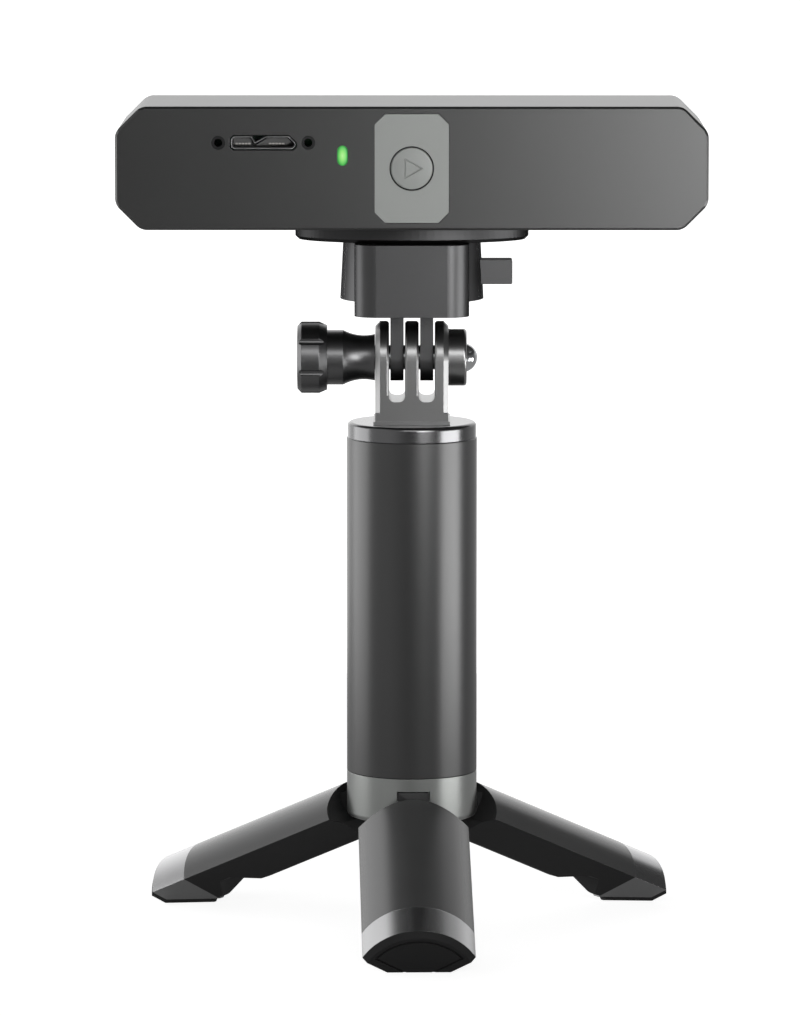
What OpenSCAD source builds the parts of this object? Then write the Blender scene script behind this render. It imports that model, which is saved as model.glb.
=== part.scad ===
// Hand-held three-dimensional scanner on a quick-release mount, a tilting clevis and a grip with three legs.
// The grip's axis is Z, the floor under the feet is Z = 0, and the operator stands on the -Y side.

/* [Scanner head] */
// Width of the head from side to side
head_w = 120; // [100:1:150]
// Height of the head
head_h = 25; // [23:0.5:32]
// Depth of the head from back to front
head_d = 38; // [36:0.5:46]
// Leg of the 45 degree cut on the head's four long edges
head_corner = 5.2; // [3.5:0.1:7]
// Radius where that cut meets the flat sides
head_round = 3.2; // [1:0.1:4]
// Bevel round the back and front ends
head_bevel = 0.45; // [0.2:0.05:0.8]
// Thickness of the sleeve's wall
head_wall = 1.8; // [1.4:0.1:2.4]
// Thickness of the back wall
back_wall = 2.4; // [2.2:0.1:3]
// Thickness of the front cover
front_t = 2; // [1.5:0.1:2.5]
// How far the front cover lies behind the sleeve's front end
front_inset = 0.5; // [0.2:0.1:1]
// Width of the ledge that the front cover rests on
front_ledge = 0.6; // [0.4:0.1:0.8]

/* [Scan button] */
// Width of the pale panel round the button
panel_w = 15; // [13:0.5:18]
// Height of that panel
panel_h = 22; // [18:0.5:22.5]
// Cut on the panel's corners
panel_corner = 2.1; // [1.2:0.1:3]
// Radius on the panel's corners
panel_round = 0.5; // [0.3:0.1:1]
// Thickness of the panel
panel_t = 1.2; // [1:0.1:1.4]
// Seam round the panel
panel_seam = 0.08; // [0.04:0.02:0.15]
// Radius of the button
button_r = 4.22; // [3.5:0.05:5]
// Gap between the button and its hole
button_gap = 0.3; // [0.3:0.05:0.4]
// How far the button's hidden rim overlaps the panel
button_rim = 0.9; // [0.6:0.1:1.1]
// Thickness of that rim
button_rim_t = 0.5; // [0.4:0.05:0.6]
// Bevel on the button's edge
button_bevel = 0.2; // [0.1:0.05:0.4]
// Travel of the button
button_travel = 0.4; // [0.3:0.05:0.5]
// Radius of the stem under the button
button_stem_r = 1.5; // [1.2:0.1:2]

/* [Status light] */
// Distance of the light to the left of the head's middle
light_x = 14; // [11:0.5:17]
// Height of the light above the head's middle
light_z = 2.6; // [0:0.1:5]
// Width of the light
light_w = 2.15; // [1.6:0.05:3]
// Height of the light
light_h = 4.1; // [3.2:0.1:6]

/* [Socket] */
// Distance of the socket to the left of the head's middle
socket_x = 30; // [28:0.5:34]
// Height of the socket above the head's middle
socket_z = 5.2; // [3:0.1:6]
// Width of the socket's opening
socket_w = 13.6; // [12.5:0.1:14.5]
// Height of the socket's opening
socket_h = 3.1; // [2.6:0.1:3.6]
// Cut on the two left corners
socket_left_cut = 0.7; // [0.4:0.1:1]
// Cut on the upper right corner
socket_right_cut = 1.5; // [1:0.1:1.8]
// Cut on the lower right corner
socket_low_cut = 0.75; // [0.4:0.05:1]
// Distance of the notch's point to the left of the socket's middle
notch_x = 1.7; // [1.2:0.1:2.2]
// Depth of the notch
notch_d = 1.3; // [1:0.1:1.5]
// Reach of the notch to the left of its point
notch_left = 0.7; // [0.4:0.1:1]
// Reach of the notch to the right of its point
notch_right = 2.3; // [1.8:0.1:2.6]
// Thickness of the socket's metal shell
socket_shell_t = 0.25; // [0.2:0.05:0.35]
// Clearance between the shell and the back wall
socket_gap = 0.12; // [0.08:0.02:0.2]
// How far the shell lies behind the back wall's face
socket_inset = 0.35; // [0.2:0.05:0.6]
// Width of each contact tongue
tongue_w = 3.2; // [2.8:0.1:3.4]
// Thickness of each contact tongue
tongue_t = 0.5; // [0.4:0.05:0.7]
// Distance between the two screw inserts beside the socket
lock_spacing = 18.2; // [17.5:0.1:20]
// Outer radius of an insert
insert_r = 1.41; // [1.15:0.01:1.5]
// Bore radius of an insert
insert_bore_r = 0.82; // [0.75:0.01:0.9]
// Length of an insert
insert_len = 5; // [4:0.5:6]
// Radius of the boss round an insert
insert_boss_r = 2.1; // [1.8:0.1:2.2]

/* [Optics] */
// Distance of each camera from the head's end
camera_end = 18; // [14:0.5:24]
// Radius of a camera's barrel
camera_r = 5.2; // [4.5:0.1:6]
// Radius of a camera's lens
camera_lens_r = 4.2; // [3.4:0.1:4.4]
// Width of a camera's square base
camera_base = 14; // [12.5:0.5:16]
// Distance of the colour camera to the right of the head's middle
colour_x = 18; // [16:0.5:22]
// Radius of the colour camera's barrel
colour_r = 3.6; // [3:0.1:4.5]
// Radius of the colour camera's lens
colour_lens_r = 2.7; // [2:0.1:2.9]
// Width of the colour camera's square base
colour_base = 10; // [9:0.5:11]
// Radius of the pattern projector's barrel
projector_r = 6; // [5:0.1:6.8]
// Radius of the pattern projector's lens
projector_lens_r = 4.8; // [4:0.1:4.9]
// Width of the pattern projector's square base
projector_base = 16; // [14.5:0.5:17]
// Distance of the lamps to the left of the head's middle
flood_x = 18; // [16:0.5:22]
// Distance between neighbouring lamps
flood_pitch = 5; // [4.6:0.1:6]
// Radius of a lamp
flood_r = 1.5; // [1.2:0.1:1.7]
// Clearance round a barrel or lamp in the front cover
barrel_gap = 0.3; // [0.2:0.05:0.5]
// Width of the bevel round each opening in the front cover
bezel = 1.4; // [0.8:0.1:1.6]
// Depth of a square camera base
base_t = 4; // [3:0.5:5]
// Thickness of the optical bench
bench_t = 2; // [1.5:0.1:2.5]
// Thickness of the circuit board
board_t = 1.6; // [1.2:0.1:2]
// Distance of the circuit board's edge from the head's end
board_end = 8; // [6.5:0.5:10]
// Height of the circuit board
board_h = 18; // [17:0.5:18.5]
// Distance of the board's posts from the head's end
post_end = 12; // [11.5:0.5:13]
// Distance of the board's posts from the head's middle, upwards
post_z = 5.5; // [5:0.1:6]
// Radius of a post
post_r = 2.2; // [1.8:0.1:2.4]
// Radius of a board screw
board_screw_r = 1; // [0.8:0.05:1.2]
// Width of the push switch
switch_w = 6; // [5:0.5:7]
// Height of the push switch above the board
switch_h = 3.2; // [2.8:0.1:3.4]
// Radius of the switch's plunger
plunger_r = 1; // [0.8:0.05:1.1]

/* [Quick release] */
// Length of the oval plate
plate_w = 47.8; // [44:0.1:54]
// Width of the oval plate
plate_d = 27.6; // [25:0.1:30]
// Thickness of the oval plate
plate_h = 3.2; // [2.8:0.1:4]
// Bevel on the plate's lower edge
plate_bevel = 0.7; // [0.4:0.1:1]
// Gap between the plate and the collar
plate_gap = 0.3; // [0.1:0.05:0.5]
// Radius at the collar's top
collar_top_r = 14.1; // [13.8:0.05:14.6]
// Radius at the collar's bottom
collar_low_r = 14.7; // [14.4:0.05:15]
// Height of the collar
collar_h = 11.9; // [11:0.1:12.5]
// Width of the block
block_w = 23.4; // [22:0.1:25]
// Depth of the block
block_d = 29.6; // [29.4:0.1:31]
// Height of the block
block_h = 14.7; // [14:0.1:16]
// Radius on the block's upright edges
block_round = 4.5; // [3:0.1:6]
// Radius of the plate's spigot
spigot_r = 7.2; // [6.9:0.05:7.3]
// Length of the plate's spigot
spigot_h = 9; // [8.6:0.1:9.5]
// Depth of the spigot's groove
groove_d = 1.3; // [1:0.05:1.4]
// Clearance between the spigot and its socket
spigot_gap = 0.3; // [0.3:0.05:0.4]
// Thickness of the latch plate
latch_t = 1.8; // [1.4:0.1:2]
// Width of the latch ring
latch_ring = 3.2; // [2.8:0.1:3.4]
// Travel of the latch
latch_travel = 2.5; // [2:0.1:2.6]
// Clearance round the latch
latch_gap = 0.3; // [0.3:0.05:0.4]
// Distance of the tab's end from the spigot's axis
tab_reach = 20.6; // [19.5:0.1:22]
// Width of the tab
tab_w = 5.4; // [4.6:0.1:6.4]
// Height of the tab
tab_h = 5; // [4.4:0.1:5.6]
// Distance of the tab's middle below the top of the collar
tab_drop = 6.4; // [6.2:0.1:6.8]
// Radius of the tripod screw
tripod_r = 3.1; // [2.9:0.05:3.15]
// Radius of the tripod screw's head
tripod_head_r = 4.6; // [4.2:0.1:4.7]
// Height of the tripod screw's head
tripod_head_h = 4; // [3.5:0.1:4.4]
// Outer radius of the threaded bush in the head
bush_r = 5; // [4.5:0.1:5.5]
// Length of the threaded bush in the head
bush_h = 7; // [6:0.5:8]

/* [Tilt joint] */
// Height of the pivot above the cap
pivot_h = 13.2; // [12.9:0.1:15]
// Height of the block above the pivot
block_lift = 9.5; // [9.2:0.1:11]
// Width of the clevis across its prongs
clevis_w = 15; // [14.6:0.1:16]
// Radius of the prongs' round tops
prong_r = 7.5; // [7:0.1:8]
// Bevel on the clevis's outer edges
clevis_bevel = 1; // [0.5:0.1:1.4]
// Width of each slot
slot_w = 3.3; // [3.1:0.05:3.6]
// Distance of each slot's middle from the clevis's middle
slot_x = 3.05; // [2.9:0.05:3.3]
// Thickness of the clevis under its slots
slot_floor = 4.7; // [4:0.1:5.2]
// Radius in the corners of a slot's floor
slot_round = 1.2; // [0.6:0.1:1.4]
// Bevel on the edges of a slot
slot_bevel = 0.4; // [0.2:0.05:0.5]
// Height of the clevis's square foot
clevis_foot = 2.4; // [1.8:0.1:3]
// Height of the flange under that foot
flange_h = 0.7; // [0.5:0.1:1]
// Reach of the flange past the foot
flange_out = 0.35; // [0.2:0.05:0.6]
// Gap between a finger and each side of its slot
finger_gap = 0.3; // [0.2:0.05:0.35]
// Radius of a finger's round end
finger_r = 4.8; // [4.4:0.1:5.4]
// Radius of the pivot bolt
bolt_r = 2.5; // [2.2:0.05:2.8]
// Running clearance of the pivot bolt
bolt_gap = 0.05; // [0.03:0.01:0.08]
// Radius of the nut boss
boss_r = 5.84; // [5.4:0.02:6.4]
// Length of the nut boss
boss_len = 3.75; // [3.5:0.05:4.5]
// Radius on the boss's edge
boss_round = 0.6; // [0.3:0.1:0.9]
// Radius of the nut's dome
dome_r = 3.07; // [2.9:0.01:3.3]
// How far the dome stands out of the boss
dome_h = 2.2; // [1.8:0.1:2.6]
// Width of the nut across its flats
nut_af = 8; // [7.6:0.1:8.4]

/* [Thumb knob] */
// Radius of the knob's head
knob_r = 7.35; // [6.6:0.05:8.2]
// Length of the knob's head
knob_len = 6.1; // [5:0.1:7]
// Number of lobes
knob_lobes = 7; // [5:1:8]
// Radius of the grooves between the lobes
flute_r = 0.7; // [0.5:0.05:1.2]
// Depth of the grooves
flute_d = 0.46; // [0.3:0.02:0.8]
// Bevel at the knob's outer end
knob_bevel = 0.85; // [0.4:0.05:1.1]
// Depth of the bevel at the knob head's inner end
knob_inner_bevel = 0.7; // [0.4:0.05:1]
// Length of that bevel
knob_inner_len = 1.6; // [0.8:0.1:2]
// Radius of the knob's collar
knob_collar_r = 5.63; // [5.2:0.01:6.2]
// Length of the knob's collar
knob_collar_len = 3.3; // [2.5:0.1:4]
// Least radius of the knob's neck
knob_neck_r = 4.53; // [4.2:0.01:5]
// Length of the knob's neck
knob_neck_len = 6.5; // [5.5:0.1:7.5]
// Distance of the neck's narrowest place from the clevis
knob_waist = 2.2; // [1.6:0.1:2.8]
// Gap between the knob and the clevis
knob_gap = 0.1; // [0.05:0.05:0.2]

/* [Grip] */
// Outer radius of the grip tube
tube_r = 13.4; // [12.8:0.1:14.5]
// Wall of the grip tube
tube_wall = 1.3; // [1:0.1:1.6]
// Length of the grip tube
tube_h = 69.3; // [50:0.5:100]
// Bevel at the tube's ends
tube_bevel = 0.15; // [0.1:0.05:0.3]
// Height of the cap above the tube
cap_h = 3.2; // [2.8:0.1:4]
// Radius on the cap's upper edge
cap_round = 0.8; // [0.4:0.1:1.2]
// Depth of the cap's plug in the tube
plug_h = 8; // [6:0.5:12]
// Clearance of a plug in the tube
plug_gap = 0.04; // [0.02:0.01:0.1]
// Radius of the screw that holds the clevis
clevis_screw_r = 2.4; // [2:0.1:2.8]
// Radius of that screw's head
clevis_screw_head_r = 4.2; // [3.8:0.1:4.6]

/* [Leg hub] */
// Height of the hub ring
hub_h = 9.4; // [9.2:0.1:11]
// Radius on the hub's lower edge
hub_round = 1; // [0.4:0.1:1.4]
// Height of the hub's plug in the tube
hub_plug_h = 6; // [5:0.5:8]
// Thickness of the clamp plate that holds the pins down
hub_clamp_t = 3; // [2:0.5:4]
// Distance of the leg pins from the grip's axis
pin_x = 9.4; // [9:0.1:9.6]
// Height of the leg pins above the hub's underside
pin_lift = 4; // [3.9:0.1:4.4]
// Radius of a leg pin
pin_r = 1.25; // [1:0.05:1.4]
// Length of a leg pin
pin_len = 13; // [12:0.5:13.5]
// Running clearance of a leg pin
pin_gap = 0.05; // [0.03:0.01:0.08]
// Radius of the hub's screw
hub_screw_r = 1.9; // [1.5:0.1:2.2]

/* [Legs] */
// Length of a leg below its root
leg_len = 48.7; // [44:0.1:60]
// Angle through which a leg swings out
leg_spread = 66; // [60:0.5:70]
// Turn of the three legs about the grip's axis
leg_turn = 1.6; // [0:0.1:4]
// Difference between the tube's radius and a leg's radius
leg_inset = 0.2; // [0.1:0.05:0.4]
// Gap between the hub's underside and a folded leg
leg_root_gap = 0.3; // [0.25:0.05:0.5]
// Gap between the flat sides of neighbouring folded legs
leg_gap = 0.4; // [0.3:0.05:0.6]
// Thickness of a leg's outer shell
leg_shell_t = 1.2; // [0.9:0.1:1.5]
// Clearance round the pin for the hub's edge
leg_swing_gap = 0.3; // [0.25:0.05:0.5]
// Distance of a leg's flat underside from the grip's axis when folded
leg_keel = 1.25; // [0.8:0.05:2.8]
// Depth of the finger notch under a leg
leg_notch = 2.55; // [1:0.05:3]
// Distance of the notch from the foot cap
leg_notch_back = 4.9; // [4.6:0.1:6]
// Width of the hinge lug
lug_w = 6.1; // [5:0.1:6.6]
// Radius of the hinge lug
lug_r = 2.5; // [2.2:0.1:2.7]
// Clearance on each side of the hinge lug
lug_gap = 0.3; // [0.2:0.05:0.4]
// Distance of the lug's front from the hub's outside when the leg is swung out
lug_front = 0.15; // [0.1:0.05:0.4]
// Length of a foot cap
foot_len = 9.5; // [8.5:0.1:12]
// Thickness of a foot cap
foot_wall = 1.2; // [0.9:0.1:1.5]
// Height of the rubber sole under a foot cap
sole_h = 0.95; // [0.6:0.05:1.2]
// Length of the rubber end outside a foot cap
pad_end = 1.1; // [0.8:0.1:1.5]
// Depth of the groove round the panel in the rubber end
pad_groove_d = 0.35; // [0.2:0.05:0.5]
// Width of that groove
pad_groove_w = 0.4; // [0.2:0.05:0.6]
// Distance of that groove from the rubber end's edge
pad_panel_inset = 0.7; // [0.4:0.1:1]
// Distance from the folded leg's inner edge to where the sole meets the tip
sole_cut = 3.9; // [3.4:0.1:4.6]

/* [Hidden] */
$fn = 96;

// Overshoot of a cutting solid past the face that it cuts
cut = 1;
// Overlap of two solids that make one piece
lap = 0.2;
// Radius on the corners of the sleeve's inside
inner_round = 0.2;
// Distance of the circuit board from the head's back end, and of the bench from its front end
board_set = 8;
bench_set = 11;
// Play of the button under the panel, and how far the plunger stands out of its switch
button_play = 0.15;
plunger_out = 0.4;
plunger_gap = 0.3;
// Block at the socket's bottom, and where its tongues lie
socket_back = 2;
tongue_set = 1;
tongue_rise = 1;
tongue_left = 1.2;
tongue_right = 2.4;
// Inserts, camera bases, lenses, board and its screws
insert_set = 0.1;
base_round = 1;
lens_bulge = 2;
lens_sink = 0.6;
board_round = 1.5;
board_screw_head = 1.2;
board_screw_len = 5;
// Tripod screw: wall round its bush, depth of its head and key, and how far its end stays short
bush_wall = 1.5;
tripod_sink = 0.6;
tripod_key = 2;
tripod_short = 1;
// Latch: roundness of the tab's edges, and room for the spring behind the ring
tab_round = 0.4;
spring_room = 1.6;
// Pivot: step behind the nut, solid end of the knob, turn of its flutes, and the bolt's shortness
nut_set = 0.4;
knob_core = 3;
flute_turn = 0.15;
bolt_short = 0.4;
// Cap: floor and wall of its plug, and the clevis's screw
cap_floor = 2.5;
plug_wall = 2;
clevis_screw_head_h = 2.6;
clevis_screw_short = 1;
// Hub: floor under its screw, and the screw's head
hub_floor = 2;
hub_screw_head_r = 3.4;
hub_screw_head_h = 2.4;
// Leg core: sloped start and low heel of its keel, run of its notch, and the web under its lug
keel_slope = 2.4;
keel_lift = 1.2;
notch_start = 7;
notch_flat = 2.4;
heel_low = 1;
heel_r = 1.6;
heel_steps = 6;
lug_web = 3;
lug_set = 0.6;
// Foot: length and clearance of the core's tenon, and side margin of the rubber end's panel
tenon_len = 1.8;
tenon_gap = 0.05;
pad_panel_side = 1.5;
// Sides of the oval plate's outline
oval_sides = 96;

// Heights, from the floor up
root_drop = pin_lift + leg_root_gap;
pin_z = (pin_x - sole_cut) * sin(leg_spread) + (root_drop + leg_len) * cos(leg_spread);
hub_z = pin_z - pin_lift;
tube_z = hub_z + hub_h;
cap_z = tube_z + tube_h;
clevis_z = cap_z + cap_h;
pivot_z = clevis_z + pivot_h;
block_z = pivot_z + block_lift;
collar_top_z = block_z + block_h;
plate_z = collar_top_z + plate_gap;
head_z = plate_z + plate_h;
head_mid = head_z + head_h / 2;

// Widths in the head
camera_x = head_w / 2 - camera_end;
post_x = head_w / 2 - post_end;
board_w = head_w - 2 * board_end;

// Depths in the head, from the back to the front
back_y = -head_d / 2;
wall_y = back_y + back_wall;
board_y = back_y + board_set;
bench_y = head_d / 2 - bench_set;
lens_y = bench_y + bench_t;
board_screw_y1 = board_y + board_t + board_screw_len;
cover_y1 = head_d / 2 - front_inset;
cover_y0 = cover_y1 - front_t;
barrel_y1 = cover_y1 - bezel / 2;
rim_y0 = back_y + panel_t + button_play;
stem_y1 = board_y - switch_h - plunger_out;

// Latch and spigot
latch_z = collar_top_z - tab_drop;
spigot_socket_r = spigot_r + spigot_gap;
latch_hook = spigot_socket_r - (spigot_r - groove_d) - spigot_gap;
latch_slack = latch_travel - latch_hook + spigot_gap;
latch_ring_r = spigot_socket_r + latch_ring;
tab_root = collar_top_r - latch_travel + latch_gap;

// Grip and legs
plug_r = tube_r - tube_wall - plug_gap;
hub_plug_z = tube_z + hub_plug_h;
leg_r = tube_r - leg_inset;
core_r = leg_r - leg_shell_t;
swing_r = norm([tube_r - pin_x, pin_lift]) + leg_swing_gap;
foot_s = leg_len - foot_len;
leg_azimuths = [-90 + leg_turn, 150 + leg_turn, 30 + leg_turn];

// Knob and pivot along X
knob_x = -clevis_w / 2 - knob_gap;
finger_t = slot_w - 2 * finger_gap;
boss_x = clevis_w / 2 + boss_len;
nut_x = clevis_w / 2 + nut_set;
waist_rise = knob_collar_r - knob_neck_r;
waist_run = knob_neck_len - knob_waist;
waist_arc_r = (waist_run * waist_run + waist_rise * waist_rise) / (2 * waist_rise);

// Solids built on a plane, turned to run along an axis
module along_y(y0, y1) translate([0, y1, 0]) rotate([90, 0, 0]) linear_extrude(y1 - y0) children();
module rod_y(x, z, r, y0, y1) translate([x, y0, z]) rotate([-90, 0, 0]) cylinder(r = r, h = y1 - y0);
module cone_y(x, z, r0, r1, y0, y1) translate([x, y0, z]) rotate([-90, 0, 0])
    cylinder(r1 = r0, r2 = r1, h = y1 - y0);
module rod_x(r, x0, x1) translate([x0, 0, 0]) rotate([0, 90, 0]) cylinder(r = r, h = x1 - x0);
module turned_x() rotate([0, 90, 0]) rotate_extrude() children();
module at_head() translate([0, 0, head_mid]) children();
module at_pivot() translate([0, 0, pivot_z]) children();

// A rectangle with its corners cut at 45 degrees and rounded: one quarter's tangent points, then all four
function octagon_quarter(w, h, c, r) =
    let (t = r * tan(22.5), d = t / sqrt(2), x = w / 2, y = h / 2)
    [[x - c - t, y], [x - c + d, y - d], [x - d, y - c + d], [x, y - c - t]];
function octagon_points(w, h, c, r) =
    let (q = octagon_quarter(w, h, c, r))
    concat(
        q,
        [for (i = [3:-1:0]) [q[i][0], -q[i][1]]],
        [for (p = q) -p],
        [for (i = [3:-1:0]) [-q[i][0], q[i][1]]]
    );
function octagon_centres(w, h, c, r) =
    let (t = r * tan(22.5))
    [for (sx = [-1, 1], sy = [-1, 1], p = [[w / 2 - c - t, h / 2 - r], [w / 2 - r, h / 2 - c - t]])
        [sx * p[0], sy * p[1]]];
function inset_corner(c, d) = c - d * (2 - sqrt(2));
module octagon_plate(y0, y1, w, h, c, r) union() {
    along_y(y0, y1) polygon(octagon_points(w, h, c, r));
    for (p = octagon_centres(w, h, c, r)) rod_y(p[0], p[1], r, y0, y1);
}
// The head's and the panel's outlines, drawn in by d
module head_plate(y0, y1, d) octagon_plate(
    y0, y1, head_w - 2 * d, head_h - 2 * d, inset_corner(head_corner, d),
    d < head_wall ? max(head_round - d, inner_round) : inner_round
);
module panel_plate(y0, y1, d) octagon_plate(
    y0, y1, panel_w - 2 * d, panel_h - 2 * d, inset_corner(panel_corner, d), panel_round
);

// A bar across the head, of half width u, with its back and front edges bevelled
module bevelled_bar(u) {
    y = head_d / 2;
    linear_extrude(2 * head_w, center = true) polygon([
        [-u - cut, -y + head_bevel + cut], [-u + head_bevel, -y], [u - head_bevel, -y],
        [u + cut, -y + head_bevel + cut], [u + cut, y - head_bevel - cut], [u - head_bevel, y],
        [-u + head_bevel, y], [-u - cut, y - head_bevel - cut]
    ]);
}
// Half width of the head across a rounded corner, from half its size towards the near and the far side
function corner_reach(u, v) =
    u * cos(22.5) + (v - head_corner) * sin(22.5) - head_round * (1 / cos(22.5) - 1);
// The whole head, with bevels along all eight sides and round all eight corners of both ends
module head_solid() intersection() {
    head_plate(back_y - cut, -back_y + cut, 0);
    bevelled_bar(head_w / 2);
    rotate([0, 90, 0]) bevelled_bar(head_h / 2);
    bevelled_pair(45, (head_w + head_h - 2 * head_corner) / sqrt(8));
    bevelled_pair(22.5, corner_reach(head_w / 2, head_h / 2));
    bevelled_pair(67.5, corner_reach(head_h / 2, head_w / 2));
}
module bevelled_pair(a, u) intersection_for(s = [-1, 1]) rotate([0, s * a, 0]) bevelled_bar(u);

// A slot outline with round ends, and a rectangle with round corners
module stadium(x0, x1, r) {
    translate([x0, -r]) square([x1 - x0, 2 * r]);
    translate([x0, 0]) circle(r);
    translate([x1, 0]) circle(r);
}
module upright_stadium(w, h) rotate(90) stadium(-(h - w) / 2, (h - w) / 2, w / 2);
module rounded_rectangle(w, d, r) {
    square([w - 2 * r, d], center = true);
    square([w, d - 2 * r], center = true);
    for (sx = [-1, 1], sy = [-1, 1]) translate([sx * (w / 2 - r), sy * (d / 2 - r)]) circle(r);
}

// The socket's opening, drawn in by d all round
module socket_outline(d) {
    x = socket_w / 2 - d;
    y = socket_h / 2 - d;
    k = d * (2 - sqrt(2));
    tip = -notch_x;
    translate([-socket_x, socket_z]) polygon([
        [-x + socket_left_cut - k, -y],
        [x - socket_low_cut + k, -y],
        [x, -y + socket_low_cut - k],
        [x, y - socket_right_cut + k],
        [x - socket_right_cut + k, y],
        [tip + notch_right, y],
        [tip, y - notch_d],
        [tip - notch_left, y],
        [-x + socket_left_cut - k, y],
        [-x, y - socket_left_cut + k],
        [-x, -y + socket_left_cut - k]
    ]);
}
// The same opening without the notch, which is only in the socket's own shell
module socket_mouth(d) {
    socket_outline(d);
    translate([-socket_x - notch_x, socket_z + socket_h / 2 - d - notch_d / 2])
        square([2 * notch_right, notch_d], center = true);
}

lock_places = [for (s = [-1, 1]) [-socket_x + s * lock_spacing / 2, socket_z]];
post_places = [for (sx = [-1, 1], sz = [-1, 1]) [sx * post_x, sz * post_z]];
flood_places = [for (sx = [-1, 1], sz = [-1, 1]) [-flood_x + sx * flood_pitch / 2, sz * flood_pitch / 2]];

// Scanner head
module housing() color("#4c4d4d") at_head() difference() {
    union() {
        difference() {
            head_solid();
            head_plate(wall_y, cover_y0, head_wall);
            head_plate(cover_y0, head_d / 2 + cut, head_wall - front_ledge);
        }
        for (p = lock_places) rod_y(p[0], p[1], insert_boss_r, wall_y - lap, back_y + insert_len);
        translate([0, 0, -head_h / 2]) cylinder(r = bush_r + bush_wall, h = bush_h);
    }
    panel_plate(back_y - cut, back_y + panel_t, -panel_seam);
    rod_y(0, 0, button_r + button_gap + button_rim, back_y, wall_y + cut);
    along_y(back_y - cut, wall_y + cut) translate([-light_x, light_z]) upright_stadium(light_w, light_h);
    along_y(back_y - cut, wall_y + cut) socket_mouth(0);
    for (p = lock_places) rod_y(p[0], p[1], insert_r, back_y - cut, back_y + insert_len + cut);
    translate([0, 0, -head_h / 2 - cut]) cylinder(r = bush_r, h = bush_h + 2 * cut);
}

module front_cover() color("#141516") at_head() difference() {
    head_plate(cover_y0, cover_y1, head_wall - front_ledge + panel_seam);
    for (s = [-1, 1]) lens_opening(s * camera_x, camera_r);
    lens_opening(colour_x, colour_r);
    lens_opening(0, projector_r);
    for (p = flood_places) rod_y(p[0], p[1], flood_r + barrel_gap, cover_y0 - cut, cover_y1 + cut);
}
module lens_opening(x, r) {
    hole_r = r + barrel_gap;
    rod_y(x, 0, hole_r, cover_y0 - cut, cover_y1 + cut);
    cone_y(x, 0, hole_r, hole_r + bezel + cut, cover_y1 - bezel, cover_y1 + cut);
}

module button_panel() color("#9a9d98") at_head() difference() {
    panel_plate(back_y, back_y + panel_t, 0);
    rod_y(0, 0, button_r + button_gap, back_y - cut, back_y + panel_t + cut);
}

module scan_button() color("#9a9d98") at_head() {
    cone_y(0, 0, button_r - button_bevel, button_r, back_y, back_y + button_bevel);
    rod_y(0, 0, button_r, back_y + button_bevel, rim_y0);
    rod_y(0, 0, button_r + button_rim, rim_y0, rim_y0 + button_rim_t);
    rod_y(0, 0, button_stem_r, rim_y0 + button_rim_t, stem_y1);
}

module switch_plunger() color("#2a2a2c") at_head()
    rod_y(0, 0, plunger_r, stem_y1, board_y - switch_h / 2);

module scan_switch() color("#b9bcbe") at_head() difference() {
    along_y(board_y - switch_h, board_y) square(switch_w, center = true);
    hole_y1 = board_y - switch_h / 2 + button_travel + plunger_gap;
    rod_y(0, 0, plunger_r + plunger_gap, board_y - switch_h - cut, hole_y1);
}

module status_light() color("#46e05a") at_head()
    along_y(back_y, board_y) translate([-light_x, light_z]) upright_stadium(light_w, light_h);

module usb_shell() color("#8a8c8e") at_head() difference() {
    along_y(back_y + socket_inset, board_y) socket_outline(socket_gap);
    along_y(back_y, board_y + cut) socket_outline(socket_gap + socket_shell_t);
}

module usb_tongues() color("#1c1c1e") at_head() {
    along_y(board_y - socket_back, board_y) socket_outline(socket_gap + socket_shell_t);
    for (x = [-socket_w / 2 + tongue_left, socket_w / 2 - tongue_right - tongue_w])
        along_y(back_y + tongue_set, board_y - socket_back)
            translate([-socket_x + x, socket_z - socket_h / 2 + tongue_rise]) square([tongue_w, tongue_t]);
}

module lock_inserts() color("#2b2c2e") at_head() for (p = lock_places) difference() {
    rod_y(p[0], p[1], insert_r, back_y + insert_set, back_y + insert_len);
    rod_y(p[0], p[1], insert_bore_r, back_y - cut, back_y + insert_len + cut);
}

// A camera or projector: a square base on the bench and a barrel with a seat for its lens
module camera_unit(x, base, r, lens_r) difference() {
    union() {
        along_y(lens_y, lens_y + base_t) translate([x, 0]) rounded_rectangle(base, base, base_round);
        rod_y(x, 0, r, lens_y + base_t, barrel_y1);
    }
    rod_y(x, 0, lens_r, lens_y + base_t, barrel_y1 + cut);
}
// A lens: a disc with a shallow domed front
module lens_unit(x, lens_r) {
    ball_r = lens_bulge * lens_r;
    thick = barrel_y1 - lens_sink - lens_y - base_t;
    translate([x, lens_y + base_t, 0]) rotate([-90, 0, 0]) rotate_extrude() intersection() {
        translate([0, thick - ball_r]) circle(ball_r);
        square([lens_r, thick + cut]);
    }
}
module left_camera() color("#1e1f21") at_head() camera_unit(-camera_x, camera_base, camera_r, camera_lens_r);
module right_camera() color("#1e1f21") at_head() camera_unit(camera_x, camera_base, camera_r, camera_lens_r);
module colour_camera() color("#1e1f21") at_head() camera_unit(colour_x, colour_base, colour_r, colour_lens_r);
module projector() color("#1e1f21") at_head() camera_unit(0, projector_base, projector_r, projector_lens_r);
module left_lens() color("#39304f") at_head() lens_unit(-camera_x, camera_lens_r);
module right_lens() color("#39304f") at_head() lens_unit(camera_x, camera_lens_r);
module colour_lens() color("#39304f") at_head() lens_unit(colour_x, colour_lens_r);
module projector_lens() color("#4a2440") at_head() lens_unit(0, projector_lens_r);

module flood_lights() color("#e8e6d8") at_head() for (p = flood_places) {
    rod_y(p[0], p[1], flood_r, lens_y, barrel_y1 - flood_r);
    translate([p[0], barrel_y1 - flood_r, p[1]]) sphere(flood_r);
}

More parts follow.
